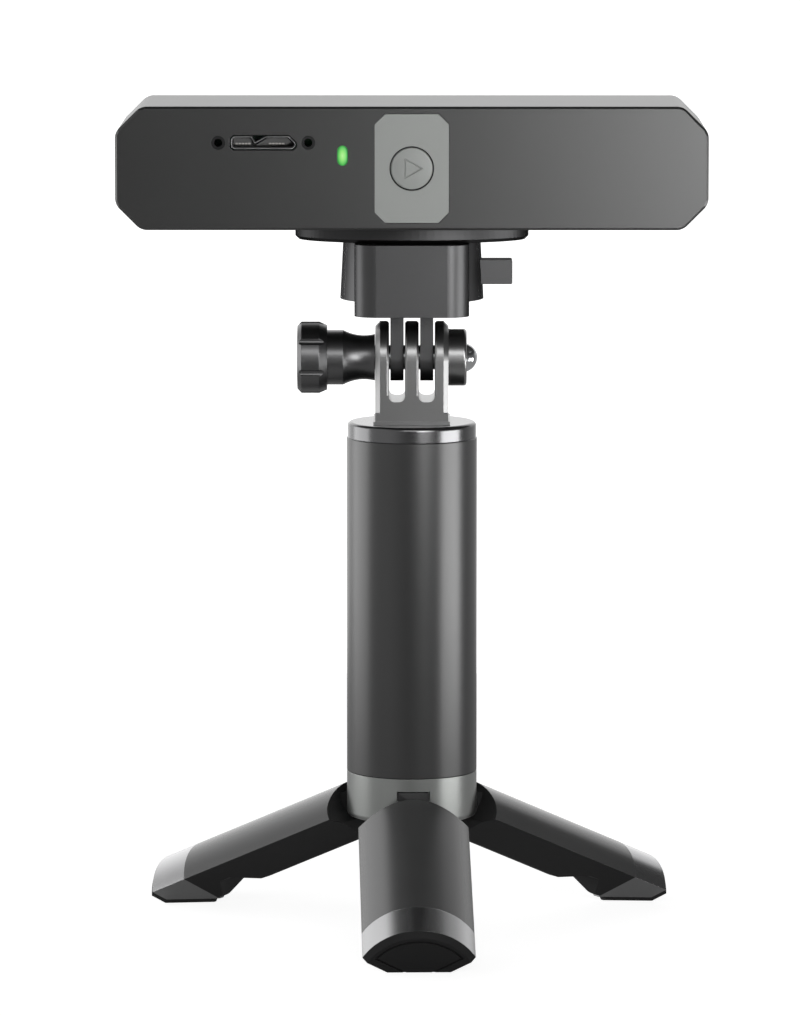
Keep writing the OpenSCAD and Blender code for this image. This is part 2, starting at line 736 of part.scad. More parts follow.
module optical_bench() color("#a9acae") at_head() difference() {
    union() {
        head_plate(bench_y, bench_y + bench_t, head_wall);
        for (p = post_places) rod_y(p[0], p[1], post_r, board_y + board_t, bench_y);
    }
    for (p = post_places) rod_y(p[0], p[1], board_screw_r, board_y, board_screw_y1);
}

module main_board() color("#20503a") at_head() difference() {
    along_y(board_y, board_y + board_t) rounded_rectangle(board_w, board_h, board_round);
    for (p = post_places) rod_y(p[0], p[1], board_screw_r, board_y - cut, board_y + board_t + cut);
}

module board_screws() color("#8e9092") at_head() for (p = post_places) {
    rod_y(p[0], p[1], 2 * board_screw_r, board_y - board_screw_head, board_y);
    rod_y(p[0], p[1], board_screw_r, board_y, board_screw_y1);
}

module thread_insert() color("#b08d4a") translate([0, 0, head_z]) difference() {
    cylinder(r = bush_r, h = bush_h);
    translate([0, 0, -cut]) cylinder(r = tripod_r, h = bush_h + 2 * cut);
}

// Quick release
// The oval's outline, drawn in by d
function oval_points(d) = [
    for (i = [0:oval_sides - 1]) let (a = 360 * i / oval_sides)
        [(plate_w / 2 - d) * cos(a), (plate_d / 2 - d) * sin(a)]
];
// A solid between two outlines of as many points, the second at height h
module frustum(low, high, h) {
    n = len(low);
    polyhedron(
        points = concat([for (p = low) [p[0], p[1], 0]], [for (p = high) [p[0], p[1], h]]),
        faces = concat(
            [[for (i = [0:n - 1]) i]],
            [[for (i = [n - 1:-1:0]) n + i]],
            [for (i = [0:n - 1]) [(i + 1) % n, i, n + i, n + (i + 1) % n]]
        )
    );
}
module oval_plate() {
    translate([0, 0, plate_bevel]) linear_extrude(plate_h - plate_bevel) polygon(oval_points(0));
    frustum(oval_points(plate_bevel), oval_points(0), plate_bevel);
}

module quick_release_plate() color("#3a3b3c") translate([0, 0, plate_z]) difference() {
    union() {
        oval_plate();
        translate([0, 0, -spigot_h]) cylinder(r = spigot_r, h = spigot_h + cut);
    }
    translate([0, 0, latch_z - plate_z - latch_t / 2 - latch_gap / 2]) difference() {
        cylinder(r = spigot_r + cut, h = latch_t + latch_gap);
        translate([0, 0, -cut]) cylinder(r = spigot_r - groove_d, h = latch_t + 3 * cut);
    }
    translate([0, 0, -spigot_h - cut]) cylinder(r = tripod_head_r, h = tripod_head_h + cut + tripod_sink);
    translate([0, 0, -spigot_h]) cylinder(r = tripod_r, h = spigot_h + plate_h + cut);
}

module plate_screw() color("#9a9c9e") translate([0, 0, plate_z - spigot_h + tripod_sink]) difference() {
    union() {
        cylinder(r = tripod_head_r, h = tripod_head_h);
        cylinder(r = tripod_r, h = spigot_h - tripod_sink + plate_h + bush_h - tripod_short);
    }
    translate([0, 0, -cut]) cylinder(r = tripod_r, h = tripod_key + cut, $fn = 6);
}

// A slot outline from x0 to the right end of the latch, for its ring, its hole and its pocket
module latch_outline(x0, r) stadium(x0, latch_slack + latch_hook, r);

module quick_release_body() color("#4b4c4d") difference() {
    union() {
        translate([0, 0, collar_top_z - collar_h])
            cylinder(r1 = collar_low_r, r2 = collar_top_r, h = collar_h);
        translate([0, 0, block_z]) linear_extrude(block_h) rounded_rectangle(block_w, block_d, block_round);
        for (s = [-1, 1]) translate([s * slot_x, 0, pivot_z]) {
            rod_x(finger_r, -finger_t / 2, finger_t / 2);
            translate([-finger_t / 2, -finger_r, 0]) cube([finger_t, 2 * finger_r, block_lift + cut]);
        }
    }
    translate([0, 0, plate_z - spigot_h - plate_gap]) cylinder(r = spigot_socket_r, h = spigot_h + 2 * cut);
    translate([0, 0, latch_z - latch_t / 2 - latch_gap / 2]) linear_extrude(latch_t + latch_gap)
        latch_outline(latch_hook - latch_travel - latch_gap, latch_ring_r + latch_gap);
    translate([tab_root - latch_travel - latch_gap, -tab_w / 2 - latch_gap, latch_z - tab_h / 2 - latch_gap])
        cube([tab_reach, tab_w + 2 * latch_gap, tab_h + 2 * latch_gap]);
    translate([0, 0, latch_z]) rod_x(spring_r + latch_gap, spring_x0, 0);
    at_pivot() rod_x(bolt_r + bolt_gap, -clevis_w, clevis_w);
}
spring_r = latch_t / 2;
spring_x0 = latch_hook - latch_travel - latch_ring_r - spring_room;

module release_latch() color("#4b4c4d") translate([0, 0, latch_z]) difference() {
    union() {
        translate([0, 0, -latch_t / 2]) linear_extrude(latch_t) latch_outline(latch_hook, latch_ring_r);
        along_y(-tab_w / 2, tab_w / 2) translate([(tab_root + tab_reach) / 2, 0])
            rounded_rectangle(tab_reach - tab_root, tab_h, tab_round);
    }
    translate([0, 0, -tab_h]) linear_extrude(2 * tab_h) latch_outline(latch_hook, spigot_socket_r);
}

module latch_spring() color("#8e9092") translate([0, 0, latch_z])
    rod_x(spring_r, spring_x0, latch_hook - latch_ring_r - latch_gap / 2);

// Tilt joint
module clevis() color("#3f4041") at_pivot() difference() {
    union() {
        translate([0, 0, -pivot_h]) linear_extrude(clevis_foot)
            square([clevis_w, 2 * prong_r], center = true);
        translate([0, 0, -pivot_h]) linear_extrude(flange_h)
            square([clevis_w + 2 * flange_out, 2 * (prong_r + flange_out)], center = true);
        translate([0, 0, -pivot_h]) linear_extrude(pivot_h)
            polygon(clevis_plan(clevis_w / 2, prong_r, clevis_bevel));
        turned_x() polygon([
            [0, -clevis_w / 2], [prong_r - clevis_bevel, -clevis_w / 2],
            [prong_r, -clevis_w / 2 + clevis_bevel], [prong_r, clevis_w / 2 - clevis_bevel],
            [prong_r - clevis_bevel, clevis_w / 2], [0, clevis_w / 2]
        ]);
        turned_x() {
            translate([0, clevis_w / 2 - cut]) square([boss_r, boss_len + cut - boss_round]);
            translate([0, boss_x - boss_round - cut]) square([boss_r - boss_round, boss_round + cut]);
            translate([boss_r - boss_round, boss_x - boss_round]) circle(boss_round);
        }
    }
    for (s = [-1, 1]) translate([s * slot_x, 0, 0]) clevis_slot();
    translate([0, 0, -pivot_h - cut]) cylinder(r = clevis_screw_r, h = slot_floor - clevis_screw_short + cut);
    rod_x(bolt_r + bolt_gap, -clevis_w, boss_x + cut);
    translate([nut_x, 0, 0]) rotate([0, 90, 0]) cylinder(r = nut_af / sqrt(3), h = boss_len, $fn = 6);
}
function clevis_plan(x, y, b) = [
    [x - b, -y], [x, -y + b], [x, y - b], [x - b, y], [-x + b, y], [-x, y - b], [-x, -y + b], [-x + b, -y]
];
// One slot: round-cornered floor, straight sides, and bevels on its upright and its round edges
module clevis_slot() {
    z0 = slot_floor - pivot_h;
    h = slot_w / 2;
    along_y(-prong_r - cut, prong_r + cut) {
        translate([0, z0 + slot_round + prong_r]) square([slot_w, 2 * prong_r], center = true);
        translate([0, z0 + slot_round]) square([slot_w - 2 * slot_round, 2 * slot_round], center = true);
        for (s = [-1, 1]) translate([s * (h - slot_round), z0 + slot_round]) circle(slot_round);
        translate([-h, z0 + slot_round]) square([slot_w, 2 * prong_r]);
    }
    translate([0, 0, z0 + slot_round]) linear_extrude(pivot_h - slot_floor - slot_round) for (s = [-1, 1])
        polygon([[-h, s * (prong_r - slot_bevel)], [h, s * (prong_r - slot_bevel)],
            [h + slot_bevel, s * prong_r], [-h - slot_bevel, s * prong_r]]);
    intersection() {
        turned_x() polygon([
            [prong_r - slot_bevel, -h], [prong_r, -h - slot_bevel], [prong_r + cut, -h - slot_bevel],
            [prong_r + cut, h + slot_bevel], [prong_r, h + slot_bevel], [prong_r - slot_bevel, h]
        ]);
        translate([-prong_r, -2 * prong_r, 0]) cube([2 * prong_r, 4 * prong_r, 2 * prong_r]);
    }
}

module thumb_knob() color("#17181a") at_pivot() difference() {
    union() {
        difference() {
            turned_x() polygon([
                [0, knob_head_x], [knob_r - knob_inner_bevel, knob_head_x],
                [knob_r, knob_head_x - knob_inner_len], [knob_r, knob_end + knob_bevel],
                [knob_r - knob_bevel, knob_end], [0, knob_end]
            ]);
            for (i = [0:knob_lobes - 1]) rotate([(i + flute_turn) * 360 / knob_lobes, 0, 0])
                translate([0, 0, knob_r + flute_r - flute_d])
                    rod_x(flute_r, knob_end - cut, knob_head_x + cut);
        }
        rod_x(knob_collar_r, knob_head_x, knob_neck_x);
        turned_x() difference() {
            translate([0, knob_neck_x]) square([knob_collar_r, knob_neck_len]);
            translate([knob_neck_r + waist_arc_r, knob_x - knob_waist]) circle(waist_arc_r, $fn = 180);
        }
    }
    rod_x(bolt_r, knob_end + knob_core, knob_x + cut);
}
knob_neck_x = knob_x - knob_neck_len;
knob_head_x = knob_neck_x - knob_collar_len;
knob_end = knob_head_x - knob_len;

module pivot_bolt() color("#8e9092") at_pivot() rod_x(bolt_r, knob_end + knob_core, boss_x - bolt_short);

module pivot_nut() color("#d4d6d8") at_pivot() difference() {
    union() {
        translate([nut_x, 0, 0]) rotate([0, 90, 0])
            cylinder(r = nut_af / sqrt(3), h = boss_x - nut_x, $fn = 6);
        turned_x() intersection() {
            translate([0, boss_x + dome_h - dome_r]) circle(dome_r);
            translate([0, boss_x - lap]) square([2 * dome_r, dome_h + cut]);
        }
    }
    rod_x(bolt_r + bolt_gap, nut_x - cut, boss_x - lap);
}

module clevis_screw() color("#8e9092") translate([0, 0, cap_z - cap_floor]) {
    translate([0, 0, -clevis_screw_head_h]) cylinder(r = clevis_screw_head_r, h = clevis_screw_head_h);
    cylinder(r = clevis_screw_r, h = cap_floor + cap_h + slot_floor - clevis_screw_short);
}

// Grip
module handle_cap() color("#57585a") translate([0, 0, cap_z]) difference() {
    union() {
        rotate_extrude() {
            square([tube_r - tube_bevel, cap_h - cap_round]);
            square([tube_r - tube_bevel - cap_round, cap_h]);
            translate([tube_r - tube_bevel - cap_round, cap_h - cap_round]) circle(cap_round);
        }
        translate([0, 0, -plug_h]) cylinder(r = plug_r, h = plug_h);
    }
    translate([0, 0, -plug_h - cut]) cylinder(r = plug_r - plug_wall, h = plug_h - cap_floor + cut);
    translate([0, 0, -plug_h]) cylinder(r = clevis_screw_r, h = plug_h + cap_h + cut);
}

module handle_tube() color("#46474a") translate([0, 0, tube_z]) rotate_extrude() {
    polygon([
        [tube_r - tube_wall, 0], [tube_r - tube_bevel, 0], [tube_r, tube_bevel],
        [tube_r, tube_h - tube_bevel], [tube_r - tube_bevel, tube_h], [tube_r - tube_wall, tube_h]
    ]);
}

module leg_hub() color("#8d908b") difference() {
    union() {
        translate([0, 0, hub_z]) rotate_extrude() {
            translate([0, hub_round]) square([tube_r, hub_h - hub_round]);
            square([tube_r - hub_round, hub_h]);
            translate([tube_r - hub_round, hub_round]) circle(hub_round);
        }
        translate([0, 0, tube_z]) cylinder(r = plug_r, h = hub_plug_h);
    }
    for (a = leg_azimuths) rotate([0, 0, a]) {
        translate([pin_x - lug_r - lug_gap, -lug_w / 2 - lug_gap, hub_z - cut])
            cube([tube_r, lug_w + 2 * lug_gap, pin_lift + lug_r + lug_gap + cut]);
        translate([pin_x - pin_r, -pin_len / 2, pin_z]) cube([2 * pin_r, pin_len, hub_plug_z]);
        rod_y(pin_x, pin_z, pin_r, -pin_len / 2, pin_len / 2);
    }
    translate([0, 0, hub_z + hub_floor]) cylinder(r = hub_screw_r, h = hub_plug_z);
}

module leg_pins() color("#b4b6b8") for (a = leg_azimuths) rotate([0, 0, a])
    rod_y(pin_x, pin_z, pin_r, -pin_len / 2, pin_len / 2);

module hub_clamp() color("#2a2b2d") difference() {
    union() {
        translate([0, 0, hub_plug_z]) cylinder(r = plug_r, h = hub_clamp_t);
        intersection() {
            cylinder(r = plug_r, h = 2 * hub_plug_z);
            for (a = leg_azimuths, s = [0, 1]) rotate([0, 0, a]) mirror([0, s, 0])
                translate([pin_x - pin_r, lug_w / 2 + lug_gap, pin_z + pin_r])
                    cube([2 * pin_r, (pin_len - lug_w) / 2 - lug_gap, hub_plug_z - pin_z]);
        }
    }
    cylinder(r = hub_screw_r, h = 2 * hub_plug_z);
}

module hub_screw() color("#8e9092") {
    translate([0, 0, hub_plug_z + hub_clamp_t]) cylinder(r = hub_screw_head_r, h = hub_screw_head_h);
    translate([0, 0, hub_z + hub_floor])
        cylinder(r = hub_screw_r, h = hub_plug_z + hub_clamp_t - hub_z - hub_floor);
}

// Legs are drawn folded, hanging from the pin at Z = 0, with X outwards, then swung out and set round the hub
module leg_place(i) rotate([0, 0, leg_azimuths[i]]) translate([pin_x, 0, pin_z])
    rotate([0, -leg_spread, 0]) translate([-pin_x, 0, 0]) children();

// A third of a circle with its flat sides drawn in by d
module third(r, d) intersection() {
    circle(r);
    far = 4 * r;
    x0 = d / sin(60);
    polygon([[x0, 0], [x0 + far * cos(60), far * sin(60)], [x0 + far, far * sin(60)],
        [x0 + far, -far * sin(60)], [x0 + far * cos(60), -far * sin(60)]]);
}
// A length of leg, between two distances below its root
module leg_run(s0, s1) translate([0, 0, -root_drop - s1]) linear_extrude(s1 - s0) children();
module leg_sector(s0, s1, r, d) leg_run(s0, s1) third(r, d);
module swing_clearance() rod_y(pin_x, 0, swing_r, -2 * leg_r, 2 * leg_r);
module above_floor(z) translate([-2 * leg_len, -2 * leg_len, z]) cube(4 * leg_len);

module leg_shell() color("#47484a") difference() {
    leg_sector(0, foot_s, leg_r, leg_gap / 2);
    translate([0, 0, -2 * leg_len]) cylinder(r = core_r, h = 4 * leg_len);
    swing_clearance();
}

// The core's side view: flat keel, finger notch and rounded heel in front of the foot cap
function arc(x, y, r, a0, a1, n) = [
    for (i = [0:n]) let (a = a0 + (a1 - a0) * i / n) [x + r * cos(a), y + r * sin(a)]
];
module core_side() {
    deep = leg_keel + leg_notch;
    notch_s = foot_s - leg_notch_back;
    heel_s = notch_s + leg_notch + heel_r;
    translate([0, -root_drop]) polygon(concat(
        [[2 * leg_r, 0], [leg_keel + keel_lift, 0], [leg_keel, -keel_slope]],
        [[leg_keel, notch_start - notch_s], [deep, notch_flat - notch_s], [deep, -notch_s]],
        arc(heel_low + heel_r, -heel_s, heel_r, 135, 180, heel_steps),
        [[heel_low, -foot_s], [2 * leg_r, -foot_s]]
    ));
}
module leg_core() color("#1b1c1e") difference() {
    tenon_r = leg_r - foot_wall - tenon_gap;
    union() {
        difference() {
            intersection() {
                leg_sector(0, foot_s, core_r, leg_gap / 2);
                rotate([90, 0, 0]) linear_extrude(4 * leg_r, center = true) core_side();
            }
            swing_clearance();
        }
        leg_sector(foot_s - lap, foot_s + tenon_len, tenon_r, leg_gap / 2 + foot_wall + tenon_gap);
        rod_y(pin_x, 0, lug_r, -lug_w / 2, lug_w / 2);
        translate([pin_x - lug_r, -lug_w / 2, -root_drop - lug_web])
            cube([min(2 * lug_r, core_r - pin_x + lug_r - lug_set), lug_w, root_drop + lug_web]);
        translate([pin_x, 0, 0]) rotate([0, leg_spread, 0]) translate([0, -lug_w / 2, -lug_r])
            cube([tube_r - pin_x - lug_front, lug_w, 2 * lug_r]);
    }
    rod_y(pin_x, 0, pin_r + pin_gap, -lug_w, lug_w);
}

module foot_cap(i) color("#b9bbbb") intersection() {
    leg_place(i) difference() {
        leg_sector(foot_s, leg_len - pad_end, leg_r, leg_gap / 2);
        leg_sector(foot_s - cut, leg_len + cut, leg_r - foot_wall, leg_gap / 2 + foot_wall);
    }
    above_floor(sole_h);
}

module foot_pad(i) color("#111213") union() {
    core_len = leg_len - pad_end;
    panel_r = leg_r - pad_end - pad_panel_inset;
    intersection() {
        leg_place(i) leg_sector(foot_s + tenon_len, core_len, leg_r - foot_wall, leg_gap / 2 + foot_wall);
        above_floor(0);
    }
    difference() {
        intersection() {
            leg_place(i) leg_sector(foot_s + tenon_len, core_len, leg_r, leg_gap / 2);
            above_floor(0);
        }
        above_floor(sole_h);
    }
    intersection() {
        leg_place(i) difference() {
            intersection() {
                leg_sector(core_len, leg_len, leg_r, leg_gap / 2);
                translate([0, 0, -root_drop - leg_len])
                    cylinder(r1 = leg_r - pad_end, r2 = leg_r, h = pad_end);
            }
            difference() {
                leg_sector(leg_len - pad_groove_d, leg_len + cut, panel_r, leg_gap / 2 + pad_panel_side);
                leg_sector(leg_len - pad_groove_d - cut, leg_len + 2 * cut, panel_r - pad_groove_w,
                    leg_gap / 2 + pad_panel_side + pad_groove_w);
            }
        }
        above_floor(0);
    }
}

module front_leg_shell() leg_place(0) leg_shell();
module left_leg_shell() leg_place(1) leg_shell();
module right_leg_shell() leg_place(2) leg_shell();
module front_leg_core() leg_place(0) leg_core();
module left_leg_core() leg_place(1) leg_core();
module right_leg_core() leg_place(2) leg_core();
module front_foot_cap() foot_cap(0);
module left_foot_cap() foot_cap(1);
module right_foot_cap() foot_cap(2);
module front_foot_pad() foot_pad(0);
module left_foot_pad() foot_pad(1);
module right_foot_pad() foot_pad(2);

housing();
front_cover();
button_panel();
scan_button();
switch_plunger();
scan_switch();
status_light();
usb_shell();
usb_tongues();
lock_inserts();
left_camera();
right_camera();
colour_camera();
projector();
left_lens();
right_lens();
colour_lens();
projector_lens();
flood_lights();
optical_bench();
main_board();
board_screws();
thread_insert();
quick_release_plate();
plate_screw();
quick_release_body();
release_latch();
latch_spring();
clevis();
thumb_knob();
pivot_bolt();
pivot_nut();
clevis_screw();
handle_cap();
handle_tube();
leg_hub();
leg_pins();
hub_clamp();
hub_screw();
front_leg_shell();
left_leg_shell();
right_leg_shell();
front_leg_core();
left_leg_core();
right_leg_core();
front_foot_cap();
left_foot_cap();
right_foot_cap();
front_foot_pad();
left_foot_pad();
right_foot_pad();
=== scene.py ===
# %% [markdown]
# # A hand-held 3-D scanner on a folding stand
# The object is a bevelled metal scanner head on a quick-release mount, a tilting clevis, a tube grip and
# three legs. The solids come ready made, each in its own node and in its place. This lesson gives them
# their finishes, remakes the few pieces whose surface detail is too fine for the solids, and sets up the
# camera, lamps and floor to photograph the result.

# %% Load the solids
import math

import bmesh
import bpy
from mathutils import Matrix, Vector


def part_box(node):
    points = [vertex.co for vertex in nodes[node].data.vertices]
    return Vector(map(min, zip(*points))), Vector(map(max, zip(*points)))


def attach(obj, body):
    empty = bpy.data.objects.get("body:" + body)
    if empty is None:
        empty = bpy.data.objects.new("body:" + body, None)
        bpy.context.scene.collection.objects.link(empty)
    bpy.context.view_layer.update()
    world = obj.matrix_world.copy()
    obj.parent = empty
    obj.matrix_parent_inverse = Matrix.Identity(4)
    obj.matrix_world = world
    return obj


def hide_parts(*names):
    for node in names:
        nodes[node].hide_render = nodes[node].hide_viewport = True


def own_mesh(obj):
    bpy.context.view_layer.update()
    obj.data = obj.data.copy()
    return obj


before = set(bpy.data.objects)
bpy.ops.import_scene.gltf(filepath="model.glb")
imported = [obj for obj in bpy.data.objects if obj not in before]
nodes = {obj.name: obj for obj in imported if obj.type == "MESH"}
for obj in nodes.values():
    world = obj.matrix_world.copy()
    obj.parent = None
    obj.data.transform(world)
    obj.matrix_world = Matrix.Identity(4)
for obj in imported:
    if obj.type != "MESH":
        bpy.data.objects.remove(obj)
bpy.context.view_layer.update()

# %% [markdown]
# ## The camera
# The picture was taken from behind the scanner, a little above it, with a long lens that hardly shows
# perspective. A camera can be aimed by hand or worked out. Here its distance, height and lens were worked
# out from the known widths and heights of the solids, so the picture can be laid over the original.

# %% Camera
AIM = Vector((-0.00244, 0, 0.08646))
EYE = Vector((0.00218, -1.38300, 0.25798))
SENSOR_HEIGHT = 36
FOCAL_LENGTH = 239.65
NEAREST = 0.05

lens = bpy.data.cameras.new("camera")
lens.sensor_fit = "VERTICAL"
lens.sensor_height = SENSOR_HEIGHT
lens.lens = FOCAL_LENGTH
lens.clip_start = NEAREST
camera = bpy.data.objects.new("camera", lens)
camera.location = EYE
camera.rotation_euler = (AIM - EYE).to_track_quat("-Z", "Y").to_euler()
bpy.context.scene.collection.objects.link(camera)
bpy.context.scene.camera = camera
bpy.context.scene.view_settings.view_transform = "Standard"
print("camera is", round((AIM - EYE).length, 3), "m from its aim")

# %% [markdown]
# ## Writing finishes as sums
# A finish is a net of nodes. Wiring each by hand hides the idea, so a small class stands for a socket
# that can be added, multiplied or taken from a number, and each such step adds the Math node that does
# it. Its node method makes any other node: settings first, then the values or wires of its sockets.


# %% A socket that takes part in sums
class Wire:
    """One output of a node tree, ready for sums."""

    def __init__(self, tree, socket=None):
        self.tree = tree
        self.socket = socket

    def node(self, kind, settings=None, sockets=None, out=0):
        made = self.tree.nodes.new(kind)
        for name, value in (settings or {}).items():
            if name == "stops":
                while len(made.color_ramp.elements) < len(value):
                    made.color_ramp.elements.new(1)
                for stop, (place, colour) in zip(made.color_ramp.elements, value):
                    stop.position = place
                    stop.color = colour
            else:
                setattr(made, name, value)
        for name, value in (sockets or {}).items():
            if isinstance(value, Wire):
                self.tree.links.new(value.socket, made.inputs[name])
            else:
                made.inputs[name].default_value = value
        return Wire(self.tree, made.outputs[out] if made.outputs else None)

    def other(self, out):
        """Another output of the same node."""
        return Wire(self.tree, self.socket.node.outputs[out])

    def sum(self, operation, a, b=0.0):
        return self.node("ShaderNodeMath", {"operation": operation}, {0: a, 1: b})

    def __add__(self, other):
        return self.sum("ADD", self, other)

    __radd__ = __add__

    def __sub__(self, other):
        return self.sum("SUBTRACT", self, other)

    def __rsub__(self, other):
        return self.sum("SUBTRACT", other, self)

    def __mul__(self, other):
        return self.sum("MULTIPLY", self, other)

    __rmul__ = __mul__

    def between(self, low, high):
        """0 below low, 1 above high, and a soft step between them."""
        return self.node(
            "ShaderNodeMapRange",
            {"interpolation_type": "SMOOTHSTEP"},
            {"Value": self, "From Min": low, "From Max": high},
        )

    def mix(self, low, high):
        """A colour that goes from low to high as this value goes from 0 to 1."""
        return self.node("ShaderNodeMix", {"data_type": "RGBA"}, {0: self, 6: low, 7: high}, out=2)


def blank(name):
    """A material with an empty net, and a wire to start from."""
    made = bpy.data.materials.new(name)
    made.use_nodes = True
    made.node_tree.nodes.clear()
    return made, Wire(made.node_tree)


# %% [markdown]
# ## The studio
# The original is a clean product picture: white all round, dark overhead, with a large soft lamp on each
# side. The white could be a lit backdrop, but then it would also light the object. Instead the world
# answers white to camera rays, and to other rays a studio: white behind the object and dimmer to its
# sides, grey in front on the left, dark on the right and dark overhead.

# %% World
LEFT_LEVEL = 0.5
RIGHT_LEVEL = 0.15
BACK_LEVEL = 1.36
CEILING_LEVEL = 0.06
LEFT_DIM = 0.2
RIGHT_DIM_LOW = 0.65
RIGHT_DIM_HIGH = 0.3
LEFT_LIFT = 0.2
RIGHT_DROP = 0.4

world = bpy.data.worlds.new("studio")
bpy.context.scene.world = world
world.use_nodes = True
world.node_tree.nodes.clear()
sky = Wire(world.node_tree)
heading = sky.node("ShaderNodeTexCoord")
# The parts of a ray's direction run from -1 to 1: east is to the right, north away from the camera.
east = sky.node("ShaderNodeSeparateXYZ", None, {0: heading})
north = east.other(1)
up = east.other(2)
behind = north.between(0.1, 0.75)
left = (0 - east).between(0.3, 0.7)
right = east.between(0.1, 0.5)
far_right = east.between(0.4, 0.75)
# The dark ceiling comes down further on the right than on the left.
overhead = (up + (RIGHT_DROP * far_right - LEFT_LIFT * left)).between(0.5, 0.75)
front = LEFT_LEVEL + (RIGHT_LEVEL - LEFT_LEVEL) * east.between(-0.7, 0)
right_dim = RIGHT_DIM_LOW - (RIGHT_DIM_LOW - RIGHT_DIM_HIGH) * up.between(0, 0.25)
dim = right_dim * right + LEFT_DIM * left
around = front * (1 - behind) + BACK_LEVEL * behind * (1 - dim)
level = around * (1 - overhead) + CEILING_LEVEL * overhead
seen = sky.node("ShaderNodeLightPath")
colour = sky.sum("MAXIMUM", level, seen)
background = sky.node("ShaderNodeBackground", None, {"Color": colour})
sky.node("ShaderNodeOutputWorld", None, {"Surface": background})
print("world nodes:", len(world.node_tree.nodes))

# %% [markdown]
# ## Lamps
# Soft highlights run down both sides of the grip, so a large lamp stands on each side, the right one low
# so that the head's right edge stays dark. A wide lamp above the camera gives the round parts of the
# joint their bands. The head is brighter towards its right end, which a fourth, nearer lamp on that side
# gives. It has a grid, as studio lamps often have, which keeps its light off the legs.

# %% Lamps
NO_GRID = 180


def soft_lamp(name, place, aim, size, level, spread=NO_GRID):
    """A rectangular lamp whose face looks level times as bright as white. A grid narrows its spread."""
    data = bpy.data.lights.new(name, "AREA")
    data.shape = "RECTANGLE"
    data.size, data.size_y = size
    data.energy = level * math.pi * size[0] * size[1]
    if spread < NO_GRID:
        # A narrower lamp sends the same power into a smaller cone, so it needs less to look as bright.
        half = math.radians(spread) / 2
        data.spread = 2 * half
        data.energy *= 1 - half / math.tan(half)
    lamp = bpy.data.objects.new(name, data)
    lamp.location = place
    lamp.rotation_euler = (Vector(aim) - Vector(place)).to_track_quat("-Z", "Y").to_euler()
    lamp.visible_camera = False
    bpy.context.scene.collection.objects.link(lamp)


soft_lamp("left_lamp", place=(-0.92, 0.23, 0.10), aim=(0, 0, 0.10), size=(0.75, 0.7), level=1.95)
soft_lamp("right_lamp", place=(0.92, -0.27, -0.25), aim=(0, 0, 0.05), size=(0.74, 0.6), level=7.0)
soft_lamp("front_lamp", place=(0, -1.0, 0.56), aim=(0, 0, 0.12), size=(0.5, 0.25), level=3.7)
near_aim = (0.06, 0, 0.15)
soft_lamp("near_lamp", place=(0.15, -0.32, 0.17), aim=near_aim, size=(0.16, 0.16), level=10.4, spread=64)

# %% [markdown]
# ## The floor
# The floor melts into the white, but keeps the feet's soft shadow. A card lit by the lamps is a little
# too dim for that, so it glows for the camera, and a little for reflections, on top of the light that
# falls on it.

# %% Floor
FLOOR_GLOW = 0.86
FLOOR_SHINE = 0.15
FLOOR_GREY = (0.5, 0.5, 0.5, 1)
FLOOR_HALF = 0.32
FLOOR_FRONT = -0.16
FLOOR_BACK = 0.35
FLOOR_Z = -0.00003

card, paper = blank("floor_card")
path = paper.node("ShaderNodeLightPath")
mirrored = paper.sum("MAXIMUM", path.other("Is Glossy Ray"), path.other("Is Transmission Ray"))
glow = paper.node("ShaderNodeEmission", None, {"Strength": path * FLOOR_GLOW + mirrored * FLOOR_SHINE})
matt = paper.node("ShaderNodeBsdfDiffuse", None, {"Color": FLOOR_GREY})
both = paper.node("ShaderNodeAddShader", None, {0: glow, 1: matt})
paper.node("ShaderNodeOutputMaterial", None, {"Surface": both})

sheet = bpy.data.meshes.new("floor")
near_edge = [(-FLOOR_HALF, FLOOR_FRONT, FLOOR_Z), (FLOOR_HALF, FLOOR_FRONT, FLOOR_Z)]
far_edge = [(FLOOR_HALF, FLOOR_BACK, FLOOR_Z), (-FLOOR_HALF, FLOOR_BACK, FLOOR_Z)]
sheet.from_pydata(near_edge + far_edge, [], [(0, 1, 2, 3)])
sheet.materials.append(card)
floor = bpy.data.objects.new("floor", sheet)
bpy.context.scene.collection.objects.link(floor)
print("floor is", 2 * FLOOR_HALF, "m wide")

# %% [markdown]
# ## Finishes
# Each finish starts from one recipe: a Principled shader whose colour and roughness wander a little, with
# a fine bump. Anodised metal, moulded plastic and rubber differ in their numbers, not in their wiring.
# Real edges are never quite sharp, so a Bevel node turns the normal over the last fraction of a
# millimetre.

# %% One recipe for solid finishes
CLOUD_SCALE, CLOUD_DETAIL = 60.0, 3.0
GRAIN_SCALE, GRAIN_DETAIL = 6000.0, 1.0
CLOUD_SHARE = 0.6
NOISE_LOW, NOISE_MIDDLE, NOISE_HIGH = 0.3, 0.5, 0.7
GRIT_DEPTH = 0.00005
SOFT_EDGE = 0.00015
BEVEL_SAMPLES = 4


